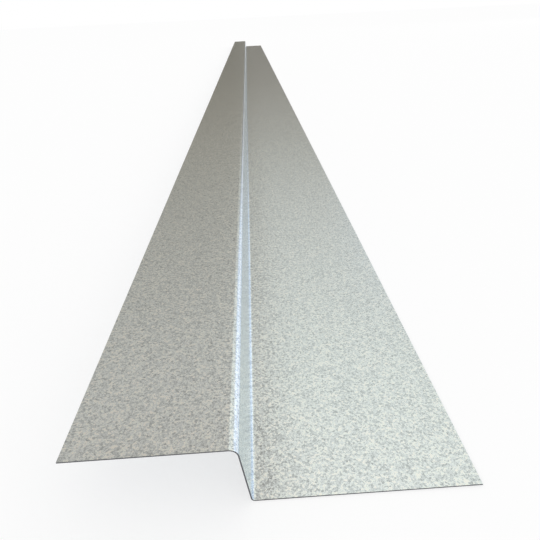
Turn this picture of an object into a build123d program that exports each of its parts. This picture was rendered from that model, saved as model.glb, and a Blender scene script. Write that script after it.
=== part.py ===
# A ten-foot stick of z-bar flashing, one strip of coated sheet steel with two bends.
# It lies as it would on a floor: the wide flange flat down on the right, the narrow
# flange raised on the left, and the web sloping down between them.
# X runs across the stick, Y along it and Z up. The origin is under the middle of the
# stick, at the level of the floor.

import os
from math import cos, radians, tan

from build123d import *

# Driving sizes in millimetres. Flange widths and the rise are outside sizes, each
# taken to the corner that the two outside faces would make if the bend were sharp.
stick_length = 3048.0
sheet_thickness = 0.55
upper_flange_width = 63.5
lower_flange_width = 88.9
rise = 28.575
upper_bend_inside_radius = 3.2
lower_bend_inside_radius = 1.2

# The web's slope from upright, in degrees. Its foot is further right than its head.
web_slope = 7.5


def web_shift(drop):
    """How far right the sloping web has moved after going down by this much."""
    return drop * tan(radians(web_slope))


# Distance across the sheet when it is measured level through the sloping web
web_level_thickness = sheet_thickness / cos(radians(web_slope))

# Heights of the four level faces
upper_top = rise
upper_under = rise - sheet_thickness
lower_top = sheet_thickness
lower_under = 0.0

# Where the web's two faces meet the flanges' faces, from the upper outside corner
outer_upper_x = 0.0
inner_upper_x = web_shift(rise - upper_under) - web_level_thickness
inner_lower_x = web_shift(rise - lower_top)
outer_lower_x = web_shift(rise) - web_level_thickness
left_edge_x = outer_upper_x - upper_flange_width
right_edge_x = outer_lower_x + lower_flange_width
middle_x = (left_edge_x + right_edge_x) / 2

# The outside of each bend follows round the inside, one sheet further out
upper_bend_outside_radius = upper_bend_inside_radius + sheet_thickness
lower_bend_outside_radius = lower_bend_inside_radius + sheet_thickness


def make_section():
    """The Z-shaped section of the bent strip, as a face across the stick."""
    with BuildSketch(Plane.XZ) as section:
        with BuildLine():
            top_face = FilletPolyline(
                (left_edge_x - middle_x, upper_top),
                (outer_upper_x - middle_x, upper_top),
                (inner_lower_x - middle_x, lower_top),
                (right_edge_x - middle_x, lower_top),
                radius=[upper_bend_outside_radius, lower_bend_inside_radius],
            )
            under_face = FilletPolyline(
                (left_edge_x - middle_x, upper_under),
                (inner_upper_x - middle_x, upper_under),
                (outer_lower_x - middle_x, lower_under),
                (right_edge_x - middle_x, lower_under),
                radius=[upper_bend_inside_radius, lower_bend_outside_radius],
            )
            Line(top_face @ 0, under_face @ 0)
            Line(top_face @ 1, under_face @ 1)
        make_face()
    return section.sketch


def make_stick():
    """The whole stick, cut square at both ends and centred along its length."""
    return extrude(make_section(), amount=stick_length / 2, both=True)


os.makedirs("parts", exist_ok=True)
z_flashing = make_stick()
export_step(z_flashing, "parts/z_flashing.step")
print("volume", round(z_flashing.volume), "mm3")
print("centre of mass", z_flashing.center(CenterOf.MASS))
print("box", z_flashing.bounding_box())
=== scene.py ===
import math

import bpy
from mathutils import Matrix, Vector


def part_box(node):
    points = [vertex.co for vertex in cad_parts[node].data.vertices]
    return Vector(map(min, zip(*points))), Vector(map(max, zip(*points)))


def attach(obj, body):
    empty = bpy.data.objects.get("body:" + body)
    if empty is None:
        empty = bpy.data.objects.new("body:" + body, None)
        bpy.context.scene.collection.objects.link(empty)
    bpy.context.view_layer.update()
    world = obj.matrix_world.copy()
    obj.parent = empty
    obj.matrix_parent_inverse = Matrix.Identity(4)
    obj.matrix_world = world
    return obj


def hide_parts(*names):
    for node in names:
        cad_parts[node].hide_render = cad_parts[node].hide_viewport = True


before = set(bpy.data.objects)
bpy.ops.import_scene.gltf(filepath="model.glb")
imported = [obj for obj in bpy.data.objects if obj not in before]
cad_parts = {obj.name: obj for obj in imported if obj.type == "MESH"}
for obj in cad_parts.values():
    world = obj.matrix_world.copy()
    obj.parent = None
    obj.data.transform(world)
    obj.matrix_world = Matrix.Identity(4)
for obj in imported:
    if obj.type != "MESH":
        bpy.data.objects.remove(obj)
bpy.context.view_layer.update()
print("frame loaded:", sorted(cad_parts))

scene = bpy.context.scene
scene.view_settings.view_transform = "Standard"

lowCorner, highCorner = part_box("z_flashing")
stickLength = highCorner.y - lowCorner.y
stickWidth = highCorner.x - lowCorner.x
stickRise = highCorner.z

white = (1.0, 1.0, 1.0, 1.0)
middleTone = 0.5  # noise and grain tones spread evenly about this


# One socket in a node tree. Sums and comparisons on it add Math nodes to that tree.
class Flow:
    def __init__(self, tree, socket):
        self.tree = tree
        self.socket = socket

    def math(self, operation, *others):
        return self.tree.add("ShaderNodeMath", {"operation": operation}, [self, *others])

    def __add__(self, other):
        return self.math("ADD", other)

    def __radd__(self, other):
        return self.math("ADD", other)

    def __sub__(self, other):
        return self.math("SUBTRACT", other)

    def __rsub__(self, other):
        return self.tree.add("ShaderNodeMath", {"operation": "SUBTRACT"}, [other, self])

    def __mul__(self, other):
        return self.math("MULTIPLY", other)

    def __rmul__(self, other):
        return self.math("MULTIPLY", other)

    def __truediv__(self, other):
        return self.math("DIVIDE", other)

    def __gt__(self, other):
        return self.math("GREATER_THAN", other)

    def __lt__(self, other):
        return self.math("LESS_THAN", other)


# A node tree that takes nodes by their type, their settings and what goes into their sockets.
class Tree:
    def __init__(self, nodeTree):
        self.nodes = nodeTree.nodes
        self.links = nodeTree.links

    def place(self, kind, settings, inputs):
        # a ramp's stops and the number of a switch's choices aren't plain settings
        node = self.nodes.new(kind)
        for name, value in settings.items():
            if name == "stops":
                setStops(node.color_ramp, value)
            elif name == "choices":
                setChoices(node.index_switch_items, value)
            else:
                setattr(node, name, value)
        pairs = inputs.items() if isinstance(inputs, dict) else enumerate(inputs)
        for key, value in pairs:
            if isinstance(value, Flow):
                self.links.new(value.socket, node.inputs[key])
            else:
                node.inputs[key].default_value = value
        return node

    def add(self, kind, settings, inputs, output=0):
        node = self.place(kind, settings, inputs)
        return Flow(self, node.outputs[output])

    def mixColour(self, share, first, second, blend="MIX"):
        # a Mix node's colours go into sockets 6 and 7, and the mixed one leaves by output 2
        settings = {"data_type": "RGBA", "blend_type": blend, "clamp_factor": True}
        return self.add("ShaderNodeMix", settings, {0: share, 6: first, 7: second}, 2)

    def vector(self, operation, *values):
        return self.add("ShaderNodeVectorMath", {"operation": operation}, values)

    def part(self, vector, axis):
        return self.add("ShaderNodeSeparateXYZ", {}, [vector], axis)

    def smooth(self, value, low, high):
        # rises softly from 0 to 1 as the value goes from low to high
        settings = {"interpolation_type": "SMOOTHSTEP"}
        inputs = {"Value": value, "From Min": low, "From Max": high}
        return self.add("ShaderNodeMapRange", settings, inputs)

    def shortStep(self, colour, reach):
        # turns a random colour into a step of up to half the reach along each axis
        step = self.vector("SUBTRACT", colour, (middleTone,) * 3)
        return self.vector("MULTIPLY", step, (reach,) * 3)


def setStops(ramp, stops):
    while len(ramp.elements) > 1:
        ramp.elements.remove(ramp.elements[0])
    for index, (position, colour) in enumerate(stops):
        stop = ramp.elements[0] if index == 0 else ramp.elements.new(position)
        stop.position = position
        stop.color = colour


def setChoices(items, count):
    while len(items) < count:
        items.new()


def newMaterial(name):
    material = bpy.data.materials.new(name)
    material.use_nodes = True
    material.node_tree.nodes.clear()
    return material, Tree(material.node_tree)


# The camera stands just above the floor in front of the near end, as a phone would.
# Its place is in metres, its turns are in degrees.
cameraView = {
    "aside": -0.00237,
    "beforeNearEnd": 0.11442,
    "height": 0.16194,
    "downward": 28.605,
    "rightward": 1.27,
    "roll": 2.79,
    "focalPixels": 467.3,
    "imagePixels": 540,
    "sensorWidth": 36.0,  # millimetres, as Blender's lens is
    "clipStart": 0.01,
}


def makeCamera():
    view = cameraView
    camera = bpy.data.objects.new("camera", bpy.data.cameras.new("camera"))
    scene.collection.objects.link(camera)
    scene.camera = camera
    camera.data.sensor_width = view["sensorWidth"]
    camera.data.lens = view["sensorWidth"] * view["focalPixels"] / view["imagePixels"]
    camera.data.clip_start = view["clipStart"]
    turn = Matrix.Rotation(math.radians(-view["rightward"]), 4, "Z")
    tip = Matrix.Rotation(math.radians(90 - view["downward"]), 4, "X")
    roll = Matrix.Rotation(math.radians(-view["roll"]), 4, "Z")
    camera.matrix_world = turn @ tip @ roll
    camera.location = (view["aside"], lowCorner.y - view["beforeNearEnd"], view["height"])
    print("camera placed")


# The bent strip's sizes in metres. The flanges and the rise are outside sizes, each taken
# to the corner that its two outside faces would make if the bend were sharp.
zBar = {
    "Length": stickLength,
    "Narrow Flange": 0.0635,
    "Wide Flange": 0.0889,
    "Rise": stickRise,
    "Sheet Thickness": 0.00055,
    "Web Slope": math.radians(7.5),  # from upright, the foot further right than the head
    "Upper Bend Radius": 0.0032,  # inside the bend, as the lower one is
    "Lower Bend Radius": 0.0012,
    "Edge Rounding": 0.00008,
    "Bend Steps": 14,
    "Edge Steps": 3,
    "Stations": 300,  # sections down the length
    "Narrow Edge Droop": 0.00025,
    "Narrow Edge Wave": 0.0003,  # at most, up or down
    "Wide Edge Lift": 0.0003,  # at most, up from the floor
    "Wave Length": 0.45,
    "Seed": 11.0,
}
supportGap = 0.0004  # keeps the flat faces flat up to this far from each bend
narrowSpan = (0.0, 0.064)  # how far from the web the narrow flange's lift starts and is full
wideSpan = (0.01, 0.092)  # the same for the wide flange
noiseShift = 50.0  # parts the two flanges' waves, so that they differ
endFacing = 0.7  # an end's face points along the stick by more than this
edgeFacing = 0.9  # a free edge's face points outwards, past this share of the half width
sharpTurn = math.radians(12)  # edges that turn more than this aren't smoothed over


def addInputs(nodeTree, values):
    for name, value in values.items():
        kind = "NodeSocketInt" if isinstance(value, int) else "NodeSocketFloat"
        nodeTree.interface.new_socket(name, in_out="INPUT", socket_type=kind)
    nodeTree.interface.new_socket("Finish", in_out="INPUT", socket_type="NodeSocketMaterial")
    nodeTree.interface.new_socket("Geometry", in_out="OUTPUT", socket_type="NodeSocketGeometry")


def sectionPoints(size):
    # The closed outline of the Z, point by point, as (across, up, bend radius, steps)
    slope = size["Web Slope"]
    thickness = size["Sheet Thickness"]
    rise = size["Rise"]
    underRise = rise - thickness
    lean = slope.math("TANGENT")
    sine = slope.math("SINE")
    cosine = slope.math("COSINE")
    levelThickness = thickness / cosine
    # where the web's faces would meet the flanges' faces, from the upper outside corner
    upperOut = 0.0
    upperIn = thickness * lean - levelThickness
    lowerIn = (rise - thickness) * lean
    lowerOut = rise * lean - levelThickness
    left = 0 - size["Narrow Flange"]
    right = lowerOut + size["Wide Flange"]
    middle = (left + right) * 0.5
    upperRadius = size["Upper Bend Radius"]
    lowerRadius = size["Lower Bend Radius"]
    halfTurn = (math.pi / 2 - slope) * 0.5
    reachShare = halfTurn.math("TANGENT")

    def edge(x, z):
        # a corner of a free edge, slightly rounded
        return [(x - middle, z, size["Edge Rounding"], size["Edge Steps"])]

    def bend(x, z, radius, side):
        # a point each side of the bend, one on its flange and one on the web
        # the side is -1 where the flange runs left from the bend, and 1 where it runs right
        reach = radius * reachShare + supportGap
        onFlange = (x + side * reach - middle, z, 0.0, 0)
        onWeb = (x - side * (reach * sine) - middle, z + side * (reach * cosine), 0.0, 0)
        corner = (x - middle, z, radius, size["Bend Steps"])
        return [onFlange, corner, onWeb]

    # over the top from left to right, then back underneath
    return (
        edge(left, rise)
        + bend(upperOut, rise, upperRadius + thickness, -1)
        + bend(lowerIn, thickness, lowerRadius, 1)[::-1]
        + edge(right, thickness)
        + edge(right, 0.0)
        + bend(lowerOut, 0.0, lowerRadius + thickness, 1)
        + bend(upperIn, underRise, upperRadius, -1)[::-1]
        + edge(left, underRise)
    )


def byIndex(tree, kind, values):
    # gives each point of the outline its own value
    index = tree.add("GeometryNodeInputIndex", {}, [])
    settings = {"data_type": kind, "choices": len(values)}
    return tree.add("GeometryNodeIndexSwitch", settings, [index, *values])


def buildSweep():
    # Bends the Z outline, runs it down the stick and gives its free edges a slight wave
    nodeTree = bpy.data.node_groups.new("zBarSweep", "GeometryNodeTree")
    nodeTree.is_modifier = True
    addInputs(nodeTree, zBar)
    tree = Tree(nodeTree)
    groupInput = tree.place("NodeGroupInput", {}, [])
    size = {name: Flow(tree, groupInput.outputs[name]) for name in zBar}
    finish = Flow(tree, groupInput.outputs["Finish"])

    points = sectionPoints(size)
    line = tree.add("GeometryNodeMeshLine", {}, {"Count": len(points)})
    outline = tree.add("GeometryNodeMeshToCurve", {}, {"Mesh": line})
    outline = tree.add("GeometryNodeSetSplineCyclic", {}, {"Geometry": outline, "Cyclic": True})
    # the sweep turns the outline's own Y downwards, so heights go in with their sign changed
    places = [
        tree.add("ShaderNodeCombineXYZ", {}, {"X": x, "Y": 0 - z}) for x, z, _, _ in points
    ]
    place = byIndex(tree, "VECTOR", places)
    outline = tree.add("GeometryNodeSetPosition", {}, {"Geometry": outline, "Position": place})
    filletInputs = {
        "Curve": outline,
        "Count": byIndex(tree, "INT", [steps for _, _, _, steps in points]),
        "Radius": byIndex(tree, "FLOAT", [radius for _, _, radius, _ in points]),
    }
    section = tree.add("GeometryNodeFilletCurve", {"mode": "POLY"}, filletInputs)

    halfLength = size["Length"] * 0.5
    start = tree.add("ShaderNodeCombineXYZ", {}, {"Y": 0 - halfLength})
    end = tree.add("ShaderNodeCombineXYZ", {}, {"Y": halfLength})
    path = tree.add("GeometryNodeCurvePrimitiveLine", {}, {"Start": start, "End": end})
    path = tree.add("GeometryNodeResampleCurve", {}, {"Curve": path, "Count": size["Stations"]})
    sweepInputs = {"Curve": path, "Profile Curve": section, "Fill Caps": True}
    stick = tree.add("GeometryNodeCurveToMesh", {}, sweepInputs)

    # the flanges lift or droop more and more towards their free edges
    position = tree.add("GeometryNodeInputPosition", {}, [])
    across = tree.part(position, "X")
    along = tree.part(position, "Y")
    webPlace = size["Narrow Flange"] - (size["Narrow Flange"] + size["Wide Flange"]) * 0.5
    narrowShare = tree.smooth(webPlace - across, *narrowSpan)
    wideShare = tree.smooth(across - webPlace, *wideSpan)
    waves = []
    for shift in (0.0, noiseShift):
        spot = {"X": along / size["Wave Length"], "Y": size["Seed"] + shift}
        where = tree.add("ShaderNodeCombineXYZ", {}, spot)
        settings = {"noise_dimensions": "2D"}
        waves.append(tree.add("ShaderNodeTexNoise", settings, {"Vector": where, "Scale": 1.0}))
    narrowWave = (waves[0] - middleTone) * size["Narrow Edge Wave"] * 2
    narrowLift = (narrowWave - size["Narrow Edge Droop"]) * narrowShare
    wideLift = waves[1] * size["Wide Edge Lift"] * wideShare
    lift = tree.add("ShaderNodeCombineXYZ", {}, {"Z": narrowLift + wideLift})
    stick = tree.add("GeometryNodeSetPosition", {}, {"Geometry": stick, "Offset": lift})

    # cut faces are the two ends and the two long free edges, which the coating darkens with
    # painted shade
    normal = tree.add("GeometryNodeInputNormal", {}, [])
    isEnd = tree.part(normal, "Y").math("ABSOLUTE") > endFacing
    isFreeEdge = (across * tree.part(normal, "X")) > (stickWidth / 2 * edgeFacing)
    isCut = isEnd.math("MAXIMUM", isFreeEdge)
    settings = {"data_type": "FLOAT", "domain": "FACE"}
    cutInputs = {"Geometry": stick, "Name": "cutEdge", "Value": isCut}
    stick = tree.add("GeometryNodeStoreNamedAttribute", settings, cutInputs)

    isSoft = tree.add("GeometryNodeInputMeshEdgeAngle", {}, []) < sharpTurn
    smoothInputs = {"Geometry": stick, "Shade Smooth": isSoft}
    stick = tree.add("GeometryNodeSetShadeSmooth", {"domain": "EDGE"}, smoothInputs)
    stick = tree.add("GeometryNodeRealizeInstances", {}, {"Geometry": stick})
    stick = tree.add("GeometryNodeSetMaterial", {}, {"Geometry": stick, "Material": finish})
    tree.place("NodeGroupOutput", {}, {"Geometry": stick})
    return nodeTree


def makeStick(material):
    nodeTree = buildSweep()
    carrier = bpy.data.objects.new("sweepCarrier", bpy.data.meshes.new("sweepCarrier"))
    scene.collection.objects.link(carrier)
    modifier = carrier.modifiers.new("sweep", "NODES")
    modifier.node_group = nodeTree
    identifiers = {
        item.name: item.identifier
        for item in nodeTree.interface.items_tree
        if item.in_out == "INPUT"
    }
    for name, value in zBar.items():
        modifier[identifiers[name]] = value
    modifier[identifiers["Finish"]] = material
    swept = carrier.evaluated_get(bpy.context.evaluated_depsgraph_get())
    mesh = bpy.data.meshes.new_from_object(swept)
    bpy.data.objects.remove(carrier)
    stick = bpy.data.objects.new("bentStrip", mesh)
    scene.collection.objects.link(stick)
    mesh.name = "bentStrip"
    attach(stick, "root")
    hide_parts("z_flashing")
    print("bent strip swept:", len(mesh.polygons), "faces")


# Fine bright grains of the sheet's metal coating, with their sizes in metres
coating = {
    "metalColour": (0.78, 0.845, 0.91, 1.0),
    "grainSize": 0.0009,
    "fineGrainSize": 0.0005,
    "fineGrainShare": 0.5,
    "raggedness": 0.0004,  # how widely the grains' outlines wander
    "raggedDetail": 1.0,
    "grainContrast": 0.92,
    "grainTilt": 0.05,
    "roughness": 0.18,
    "roughnessSpread": 0.08,  # added in full to the brightest grains
    # bare steel of the cut faces, made far darker as painted shade in place of the dark
    # surroundings they would reflect
    "cutSteelPaintedShade": (0.12, 0.12, 0.13, 1.0),
}


def makeCoating():
    material, tree = newMaterial("spangledCoating")
    place = tree.add("ShaderNodeTexCoord", {}, [], "Object")
    grainScale = 1 / coating["grainSize"]
    bending = {"Vector": place, "Scale": grainScale, "Detail": coating["raggedDetail"]}
    wobble = tree.add("ShaderNodeTexNoise", {}, bending, "Color")
    raggedPlace = tree.vector("ADD", place, tree.shortStep(wobble, coating["raggedness"]))
    grain, fineGrain = [
        tree.add("ShaderNodeTexVoronoi", {}, {"Vector": raggedPlace, "Scale": scale}, "Color")
        for scale in (grainScale, 1 / coating["fineGrainSize"])
    ]
    bothGrains = tree.mixColour(coating["fineGrainShare"], grain, fineGrain)
    tone = tree.add("ShaderNodeSeparateColor", {}, [bothGrains], "Red")

    lightness = (tone - middleTone) * coating["grainContrast"] + 1
    tint = tree.add("ShaderNodeCombineColor", {}, [lightness, lightness, lightness])
    colour = tree.mixColour(1.0, coating["metalColour"], tint, "MULTIPLY")
    # the cut faces show bare steel, painted dark as shade in place of the dark surroundings
    # they would reflect
    cut = tree.add("ShaderNodeAttribute", {"attribute_name": "cutEdge"}, [], "Fac")
    colour = tree.mixColour(cut, colour, coating["cutSteelPaintedShade"])

    faceNormal = tree.add("ShaderNodeNewGeometry", {}, [], "Normal")
    leaning = tree.vector("ADD", faceNormal, tree.shortStep(bothGrains, coating["grainTilt"]))
    shaderInputs = {
        "Base Color": colour,
        "Metallic": 1.0,
        "Roughness": tone * coating["roughnessSpread"] + coating["roughness"],
        "Normal": tree.vector("NORMALIZE", leaning),
    }
    shader = tree.add("ShaderNodeBsdfPrincipled", {}, shaderInputs)
    tree.place("ShaderNodeOutputMaterial", {}, {"Surface": shader})
    print("coating mixed")
    return material


# A wide pale floor that keeps the stick's shadow
paleFloor = {
    "size": 120.0,
    "colour": (0.96, 0.96, 0.96, 1.0),
    "glow": 0.6,  # how much of it is seen as plain white in place of the lit floor
}


def makeFloor():
    material, tree = newMaterial("paleFloor")
    rays = ("Is Camera Ray", "Is Glossy Ray", "Is Transmission Ray")
    camera, gloss, through = [tree.add("ShaderNodeLightPath", {}, [], ray) for ray in rays]
    seen = camera.math("MAXIMUM", gloss).math("MAXIMUM", through)
    lit = tree.add("ShaderNodeBsdfDiffuse", {}, {"Color": paleFloor["colour"]})
    glow = tree.add("ShaderNodeEmission", {}, {"Color": white, "Strength": 1.0})
    shown = tree.add("ShaderNodeMixShader", {}, [seen * paleFloor["glow"], lit, glow])
    tree.place("ShaderNodeOutputMaterial", {}, {"Surface": shown})

    half = paleFloor["size"] / 2
    mesh = bpy.data.meshes.new("floor")
    corners = [(-half, -half, 0), (half, -half, 0), (half, half, 0), (-half, half, 0)]
    mesh.from_pydata(corners, [], [(0, 1, 2, 3)])
    mesh.materials.append(material)
    floor = bpy.data.objects.new("floor", mesh)
    scene.collection.objects.link(floor)
    print("floor laid")


# A dome that only the gloss shows, as the walls and ceiling of a room would be. Its tones go
# from the horizon at 0 up to the top at 1.
tentLook = {
    "radius": 40.0,
    "segments": 64,
    "rings": 32,
    "strength": 1.04,
    "rightSideStops": [
        (0.0, (0.005, 0.003, 0.0, 1)),
        (0.06, (0.115, 0.095, 0.074, 1)),
        (0.2, (0.36, 0.338, 0.29, 1)),
        (0.35, (0.585, 0.577, 0.522, 1)),
        (0.55, (0.715, 0.713, 0.643, 1)),
        (0.7, (0.82, 0.83, 0.745, 1)),
        (1.0, (0.944, 0.915, 0.83, 1)),
    ],
    "leftSideStops": [
        (0.0, (0.005, 0.003, 0.0, 1)),
        (0.06, (0.096, 0.084, 0.062, 1)),
        (0.2, (0.308, 0.283, 0.232, 1)),
        (0.35, (0.405, 0.382, 0.33, 1)),
        (0.5, (0.45, 0.425, 0.371, 1)),
        (0.65, (0.56, 0.53, 0.47, 1)),
        (1.0, (0.47, 0.415, 0.354, 1)),
    ],
    "sideEdge": (-0.03, 0.01),  # where the left tones end and the right ones are full
    "windowColour": (0.79, 0.87, 0.97, 1),  # a cool patch, low in front on the right
    "windowSides": (0.15, 0.45),  # where it starts and is full, going right
    "windowFront": (0.05, 0.35),  # and going forward
    "windowTop": (0.3, 0.55),  # where it starts to fade and is gone, going up
}


def makeTent():
    material, tree = newMaterial("tentGradient")
    place = tree.add("ShaderNodeTexCoord", {}, [], "Object")
    height = tree.part(tree.vector("NORMALIZE", place), "Z")
    heading = tree.vector("NORMALIZE", tree.vector("MULTIPLY", place, (1, 1, 0)))
    rightward = tree.part(heading, "X")
    forward = tree.part(heading, "Y")
    left, right = [
        tree.add("ShaderNodeValToRGB", {"stops": tentLook[name]}, [height])
        for name in ("leftSideStops", "rightSideStops")
    ]
    colour = tree.mixColour(tree.smooth(rightward, *tentLook["sideEdge"]), left, right)
    window = tree.smooth(rightward, *tentLook["windowSides"])
    window = window * tree.smooth(forward, *tentLook["windowFront"])
    window = window * (1 - tree.smooth(height, *tentLook["windowTop"]))
    colour = tree.mixColour(window, colour, tentLook["windowColour"])
    glowInputs = {"Color": colour, "Strength": tentLook["strength"]}
    glow = tree.add("ShaderNodeEmission", {}, glowInputs)
    tree.place("ShaderNodeOutputMaterial", {}, {"Surface": glow})

    bpy.ops.mesh.primitive_uv_sphere_add(
        segments=tentLook["segments"],
        ring_count=tentLook["rings"],
        radius=tentLook["radius"],
    )
    tent = bpy.context.object
    tent.name = "tent"
    tent.data.materials.append(material)
    tent.visible_camera = False
    tent.visible_diffuse = False
    tent.visible_transmission = False
    tent.visible_shadow = False
    print("tent put up")


# Plain white from all round
worldLight = {
    "colour": white,
    "strength": 1.0,
}


def makeWorld():
    world = bpy.data.worlds.new("whiteStudio")
    scene.world = world
    world.use_nodes = True
    world.node_tree.nodes.clear()
    tree = Tree(world.node_tree)
    inputs = {"Color": worldLight["colour"], "Strength": worldLight["strength"]}
    background = tree.add("ShaderNodeBackground", {}, inputs)
    tree.place("ShaderNodeOutputWorld", {}, {"Surface": background})
    print("world whitened")


# A tall soft lamp on the right, past the far end, turned to the near half of the stick
softLamp = {
    "width": 1.8,
    "height": 3.0,
    "place": (3.9, 3.2, 1.9),
    "aim": (0.0, -1.0, 0.0),
    "power": 4.2,
}


def makeSoftbox():
    light = bpy.data.lights.new("softbox", "AREA")
    light.shape = "RECTANGLE"
    light.size = softLamp["width"]
    light.size_y = softLamp["height"]
    light.energy = softLamp["power"]
    softbox = bpy.data.objects.new("softbox", light)
    softbox.location = softLamp["place"]
    backward = softbox.location - Vector(softLamp["aim"])  # a lamp shines down its own -Z
    softbox.rotation_mode = "QUATERNION"
    softbox.rotation_quaternion = backward.to_track_quat("Z", "Y")
    scene.collection.objects.link(softbox)
    print("softbox hung")


makeCamera()
makeStick(makeCoating())
makeFloor()
makeTent()
makeWorld()
makeSoftbox()
